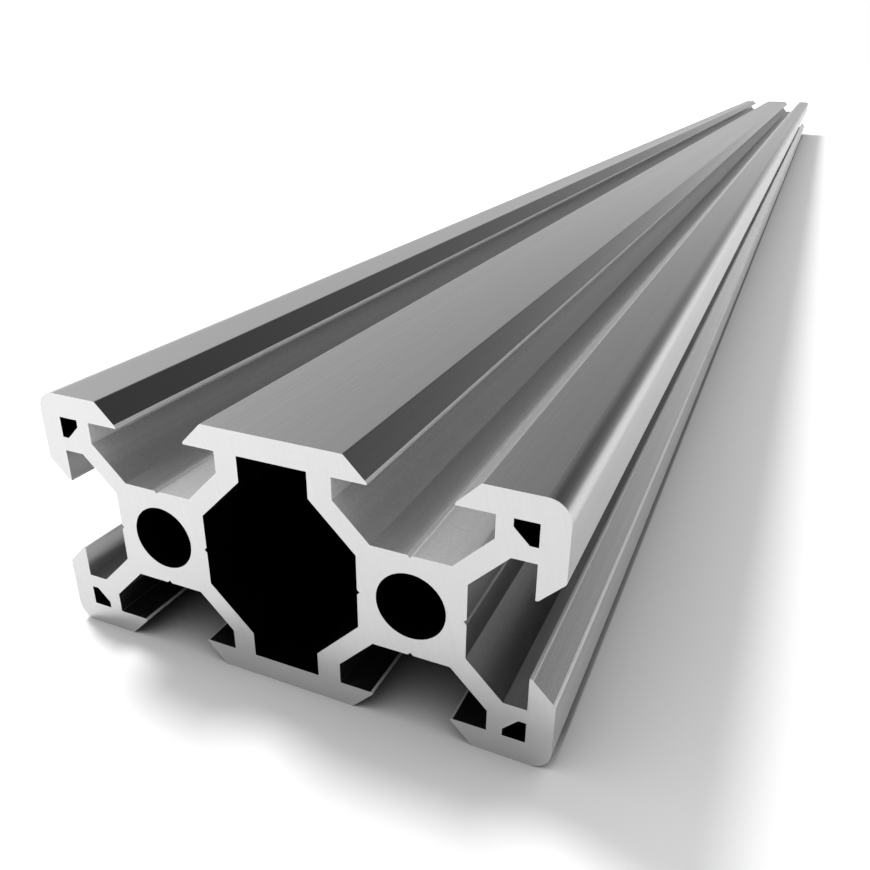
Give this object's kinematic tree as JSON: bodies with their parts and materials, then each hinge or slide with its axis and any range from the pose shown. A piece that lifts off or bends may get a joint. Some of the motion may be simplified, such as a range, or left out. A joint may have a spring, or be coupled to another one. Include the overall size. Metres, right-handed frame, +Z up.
{
  "type": "aluminium extrusion profile",
  "caption": "Straight aluminium bar of rectangular T-slot section, with V-mouthed slots along every side, round bores and a middle hollow.",
  "frame": {"origin": "middle of the underside, halfway along the bar", "axes": "+Y along the bar, away from the cut end nearest the camera; +X across the 40 mm width, to the picture's right; +Z up, over the 20 mm height"},
  "size_m": [0.04, 0.6, 0.02],
  "materials": {
    "aluminium": "satin"
  },
  "bodies": {
    "root": {"extrusion_profile": "aluminium"}
  },
  "joints": []
}
